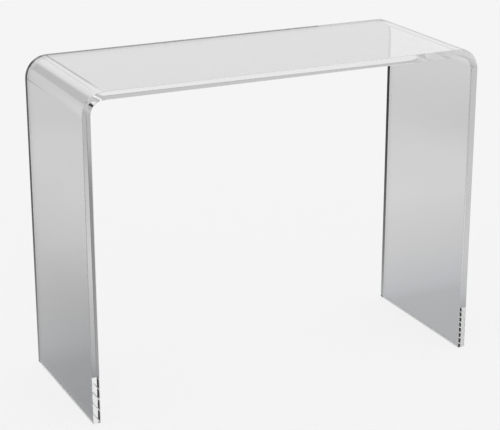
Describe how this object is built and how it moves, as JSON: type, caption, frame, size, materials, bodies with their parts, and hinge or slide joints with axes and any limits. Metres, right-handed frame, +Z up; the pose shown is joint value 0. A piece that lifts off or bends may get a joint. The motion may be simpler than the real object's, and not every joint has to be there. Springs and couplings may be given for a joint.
{
  "type": "console table",
  "caption": "Clear acrylic waterfall console table: one thick sheet bent down at both ends into legs, standing on clear stick-on bumpers.",
  "frame": {"origin": "on the floor, under the middle of the table top", "axes": "+X along the table's length, to the right seen from the front; +Y to the rear, across its depth; +Z up"},
  "size_m": [0.98, 0.375, 0.76],
  "materials": {
    "clear_acrylic": "polished",
    "clear_polyurethane": "satin",
    "acrylic_adhesive": "satin"
  },
  "bodies": {
    "root": {"bent_sheet": "clear_acrylic", "bumper_front_left": "clear_polyurethane", "bumper_front_right": "clear_polyurethane", "bumper_rear_left": "clear_polyurethane", "bumper_rear_right": "clear_polyurethane", "adhesive_front_left": "acrylic_adhesive", "adhesive_front_right": "acrylic_adhesive", "adhesive_rear_left": "acrylic_adhesive", "adhesive_rear_right": "acrylic_adhesive"}
  },
  "joints": []
}
